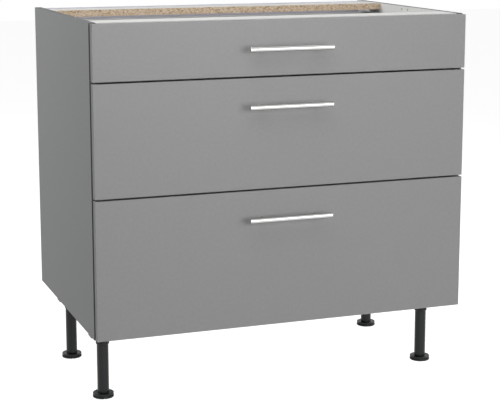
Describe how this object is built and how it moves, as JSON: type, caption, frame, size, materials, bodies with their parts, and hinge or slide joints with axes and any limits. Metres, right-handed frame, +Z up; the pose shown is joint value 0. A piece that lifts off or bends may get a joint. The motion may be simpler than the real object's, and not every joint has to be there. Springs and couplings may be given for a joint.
{
  "type": "base cabinet with drawers",
  "caption": "Kitchen base cabinet on adjustable legs, with full-width drawers on telescopic runners and bar handles.",
  "frame": {"origin": "on the floor, at the middle of the width and of the depth over the handles", "axes": "+X to the right seen from the front, +Y towards the wall, +Z up"},
  "size_m": [0.9, 0.616, 0.87],
  "materials": {
    "front_lacquer": "matt grey lacquer on fibreboard",
    "side_board": "melamine chipboard, grey outside and white inside",
    "white_board": "white melamine chipboard",
    "rear_rail_board": "white melamine chipboard with a raw front edge",
    "drawer_board": "pale grey melamine chipboard",
    "hardboard": "white painted hardboard",
    "beech": "fluted beech",
    "die_cast_zinc": "as cast, nickel plated",
    "zinc_steel": "bright zinc plate",
    "runner_steel": "galvanised sheet steel",
    "side_steel": "silver grey powder coat",
    "handle_steel": "brushed stainless steel",
    "clear_pad": "clear soft plastic",
    "grey_plastic": "moulded grey plastic",
    "black_plastic": "moulded black plastic, slight sheen"
  },
  "bodies": {
    "carcass": {"side_panel_left": "side_board", "side_panel_right": "side_board", "bottom_panel": "white_board", "front_stretcher": "white_board", "rear_stretcher": "rear_rail_board", "back_panel": "hardboard", "carcass_dowels": "beech", "cam_housings": "die_cast_zinc", "cam_bolts": "zinc_steel", "bumper_pads": "clear_pad", "leg_plates": "grey_plastic", "leg_plate_screws": "zinc_steel", "runner_screws": "zinc_steel", "top_runner_cabinet_members": "runner_steel", "middle_runner_cabinet_members": "runner_steel", "bottom_runner_cabinet_members": "runner_steel"},
    "top_drawer": {"top_drawer_front": "front_lacquer", "top_handle_bar": "handle_steel", "top_handle_posts": "handle_steel", "top_handle_screws": "zinc_steel", "top_drawer_side_left": "side_steel", "top_drawer_side_right": "side_steel", "top_drawer_base": "drawer_board", "top_drawer_back": "drawer_board", "top_drawer_brackets": "zinc_steel", "top_runner_drawer_members": "runner_steel"},
    "top_runner_middle": {"top_runner_middle_members": "runner_steel"},
    "middle_drawer": {"middle_drawer_front": "front_lacquer", "middle_handle_bar": "handle_steel", "middle_handle_posts": "handle_steel", "middle_handle_screws": "zinc_steel", "middle_drawer_side_left": "side_steel", "middle_drawer_side_right": "side_steel", "middle_drawer_base": "drawer_board", "middle_drawer_back": "drawer_board", "middle_drawer_brackets": "zinc_steel", "middle_runner_drawer_members": "runner_steel", "middle_gallery_rods": "side_steel"},
    "middle_runner_middle": {"middle_runner_middle_members": "runner_steel"},
    "bottom_drawer": {"bottom_drawer_front": "front_lacquer", "bottom_handle_bar": "handle_steel", "bottom_handle_posts": "handle_steel", "bottom_handle_screws": "zinc_steel", "bottom_drawer_side_left": "side_steel", "bottom_drawer_side_right": "side_steel", "bottom_drawer_base": "drawer_board", "bottom_drawer_back": "drawer_board", "bottom_drawer_brackets": "zinc_steel", "bottom_runner_drawer_members": "runner_steel", "bottom_gallery_rods": "side_steel"},
    "bottom_runner_middle": {"bottom_runner_middle_members": "runner_steel"},
    "leg_front_left": {"leg_front_left": "black_plastic"},
    "foot_front_left": {"foot_front_left": "black_plastic"},
    "leg_front_right": {"leg_front_right": "black_plastic"},
    "foot_front_right": {"foot_front_right": "black_plastic"},
    "leg_rear_left": {"leg_rear_left": "black_plastic"},
    "foot_rear_left": {"foot_rear_left": "black_plastic"},
    "leg_rear_right": {"leg_rear_right": "black_plastic"},
    "foot_rear_right": {"foot_rear_right": "black_plastic"}
  },
  "joints": [
    {"name": "top_drawer_slide", "type": "slide", "parent": "carcass", "child": "top_drawer", "axis": [0, -1, 0], "range_m": [0, 0.46]},
    {"name": "top_runner_slide", "type": "slide", "parent": "carcass", "child": "top_runner_middle", "axis": [0, -1, 0], "range_m": [0, 0.23]},
    {"name": "middle_drawer_slide", "type": "slide", "parent": "carcass", "child": "middle_drawer", "axis": [0, -1, 0], "range_m": [0, 0.46]},
    {"name": "middle_runner_slide", "type": "slide", "parent": "carcass", "child": "middle_runner_middle", "axis": [0, -1, 0], "range_m": [0, 0.23]},
    {"name": "bottom_drawer_slide", "type": "slide", "parent": "carcass", "child": "bottom_drawer", "axis": [0, -1, 0], "range_m": [0, 0.46]},
    {"name": "bottom_runner_slide", "type": "slide", "parent": "carcass", "child": "bottom_runner_middle", "axis": [0, -1, 0], "range_m": [0, 0.23]},
    {"name": "front_left_leg_turn", "type": "hinge", "parent": "carcass", "child": "leg_front_left", "pos_m": [-0.4075, -0.154, 0.08], "axis": [0, 0, 1], "range_deg": [0, 1440]},
    {"name": "front_left_foot_screw", "type": "slide", "parent": "carcass", "child": "foot_front_left", "axis": [0, 0, -1], "range_m": [0, 0.02]},
    {"name": "front_right_leg_turn", "type": "hinge", "parent": "carcass", "child": "leg_front_right", "pos_m": [0.4075, -0.154, 0.08], "axis": [0, 0, 1], "range_deg": [0, 1440]},
    {"name": "front_right_foot_screw", "type": "slide", "parent": "carcass", "child": "foot_front_right", "axis": [0, 0, -1], "range_m": [0, 0.02]},
    {"name": "rear_left_leg_turn", "type": "hinge", "parent": "carcass", "child": "leg_rear_left", "pos_m": [-0.4075, 0.166, 0.08], "axis": [0, 0, 1], "range_deg": [0, 1440]},
    {"name": "rear_left_foot_screw", "type": "slide", "parent": "carcass", "child": "foot_rear_left", "axis": [0, 0, -1], "range_m": [0, 0.02]},
    {"name": "rear_right_leg_turn", "type": "hinge", "parent": "carcass", "child": "leg_rear_right", "pos_m": [0.4075, 0.166, 0.08], "axis": [0, 0, 1], "range_deg": [0, 1440]},
    {"name": "rear_right_foot_screw", "type": "slide", "parent": "carcass", "child": "foot_rear_right", "axis": [0, 0, -1], "range_m": [0, 0.02]}
  ],
  "couplings": [
    {"joint": "top_runner_slide", "follows": "top_drawer_slide", "ratio": 0.5},
    {"joint": "middle_runner_slide", "follows": "middle_drawer_slide", "ratio": 0.5},
    {"joint": "bottom_runner_slide", "follows": "bottom_drawer_slide", "ratio": 0.5},
    {"joint": "front_left_foot_screw", "follows": "front_left_leg_turn", "m_per_rad": 0.00079577},
    {"joint": "front_right_foot_screw", "follows": "front_right_leg_turn", "m_per_rad": 0.00079577},
    {"joint": "rear_left_foot_screw", "follows": "rear_left_leg_turn", "m_per_rad": 0.00079577},
    {"joint": "rear_right_foot_screw", "follows": "rear_right_leg_turn", "m_per_rad": 0.00079577}
  ]
}
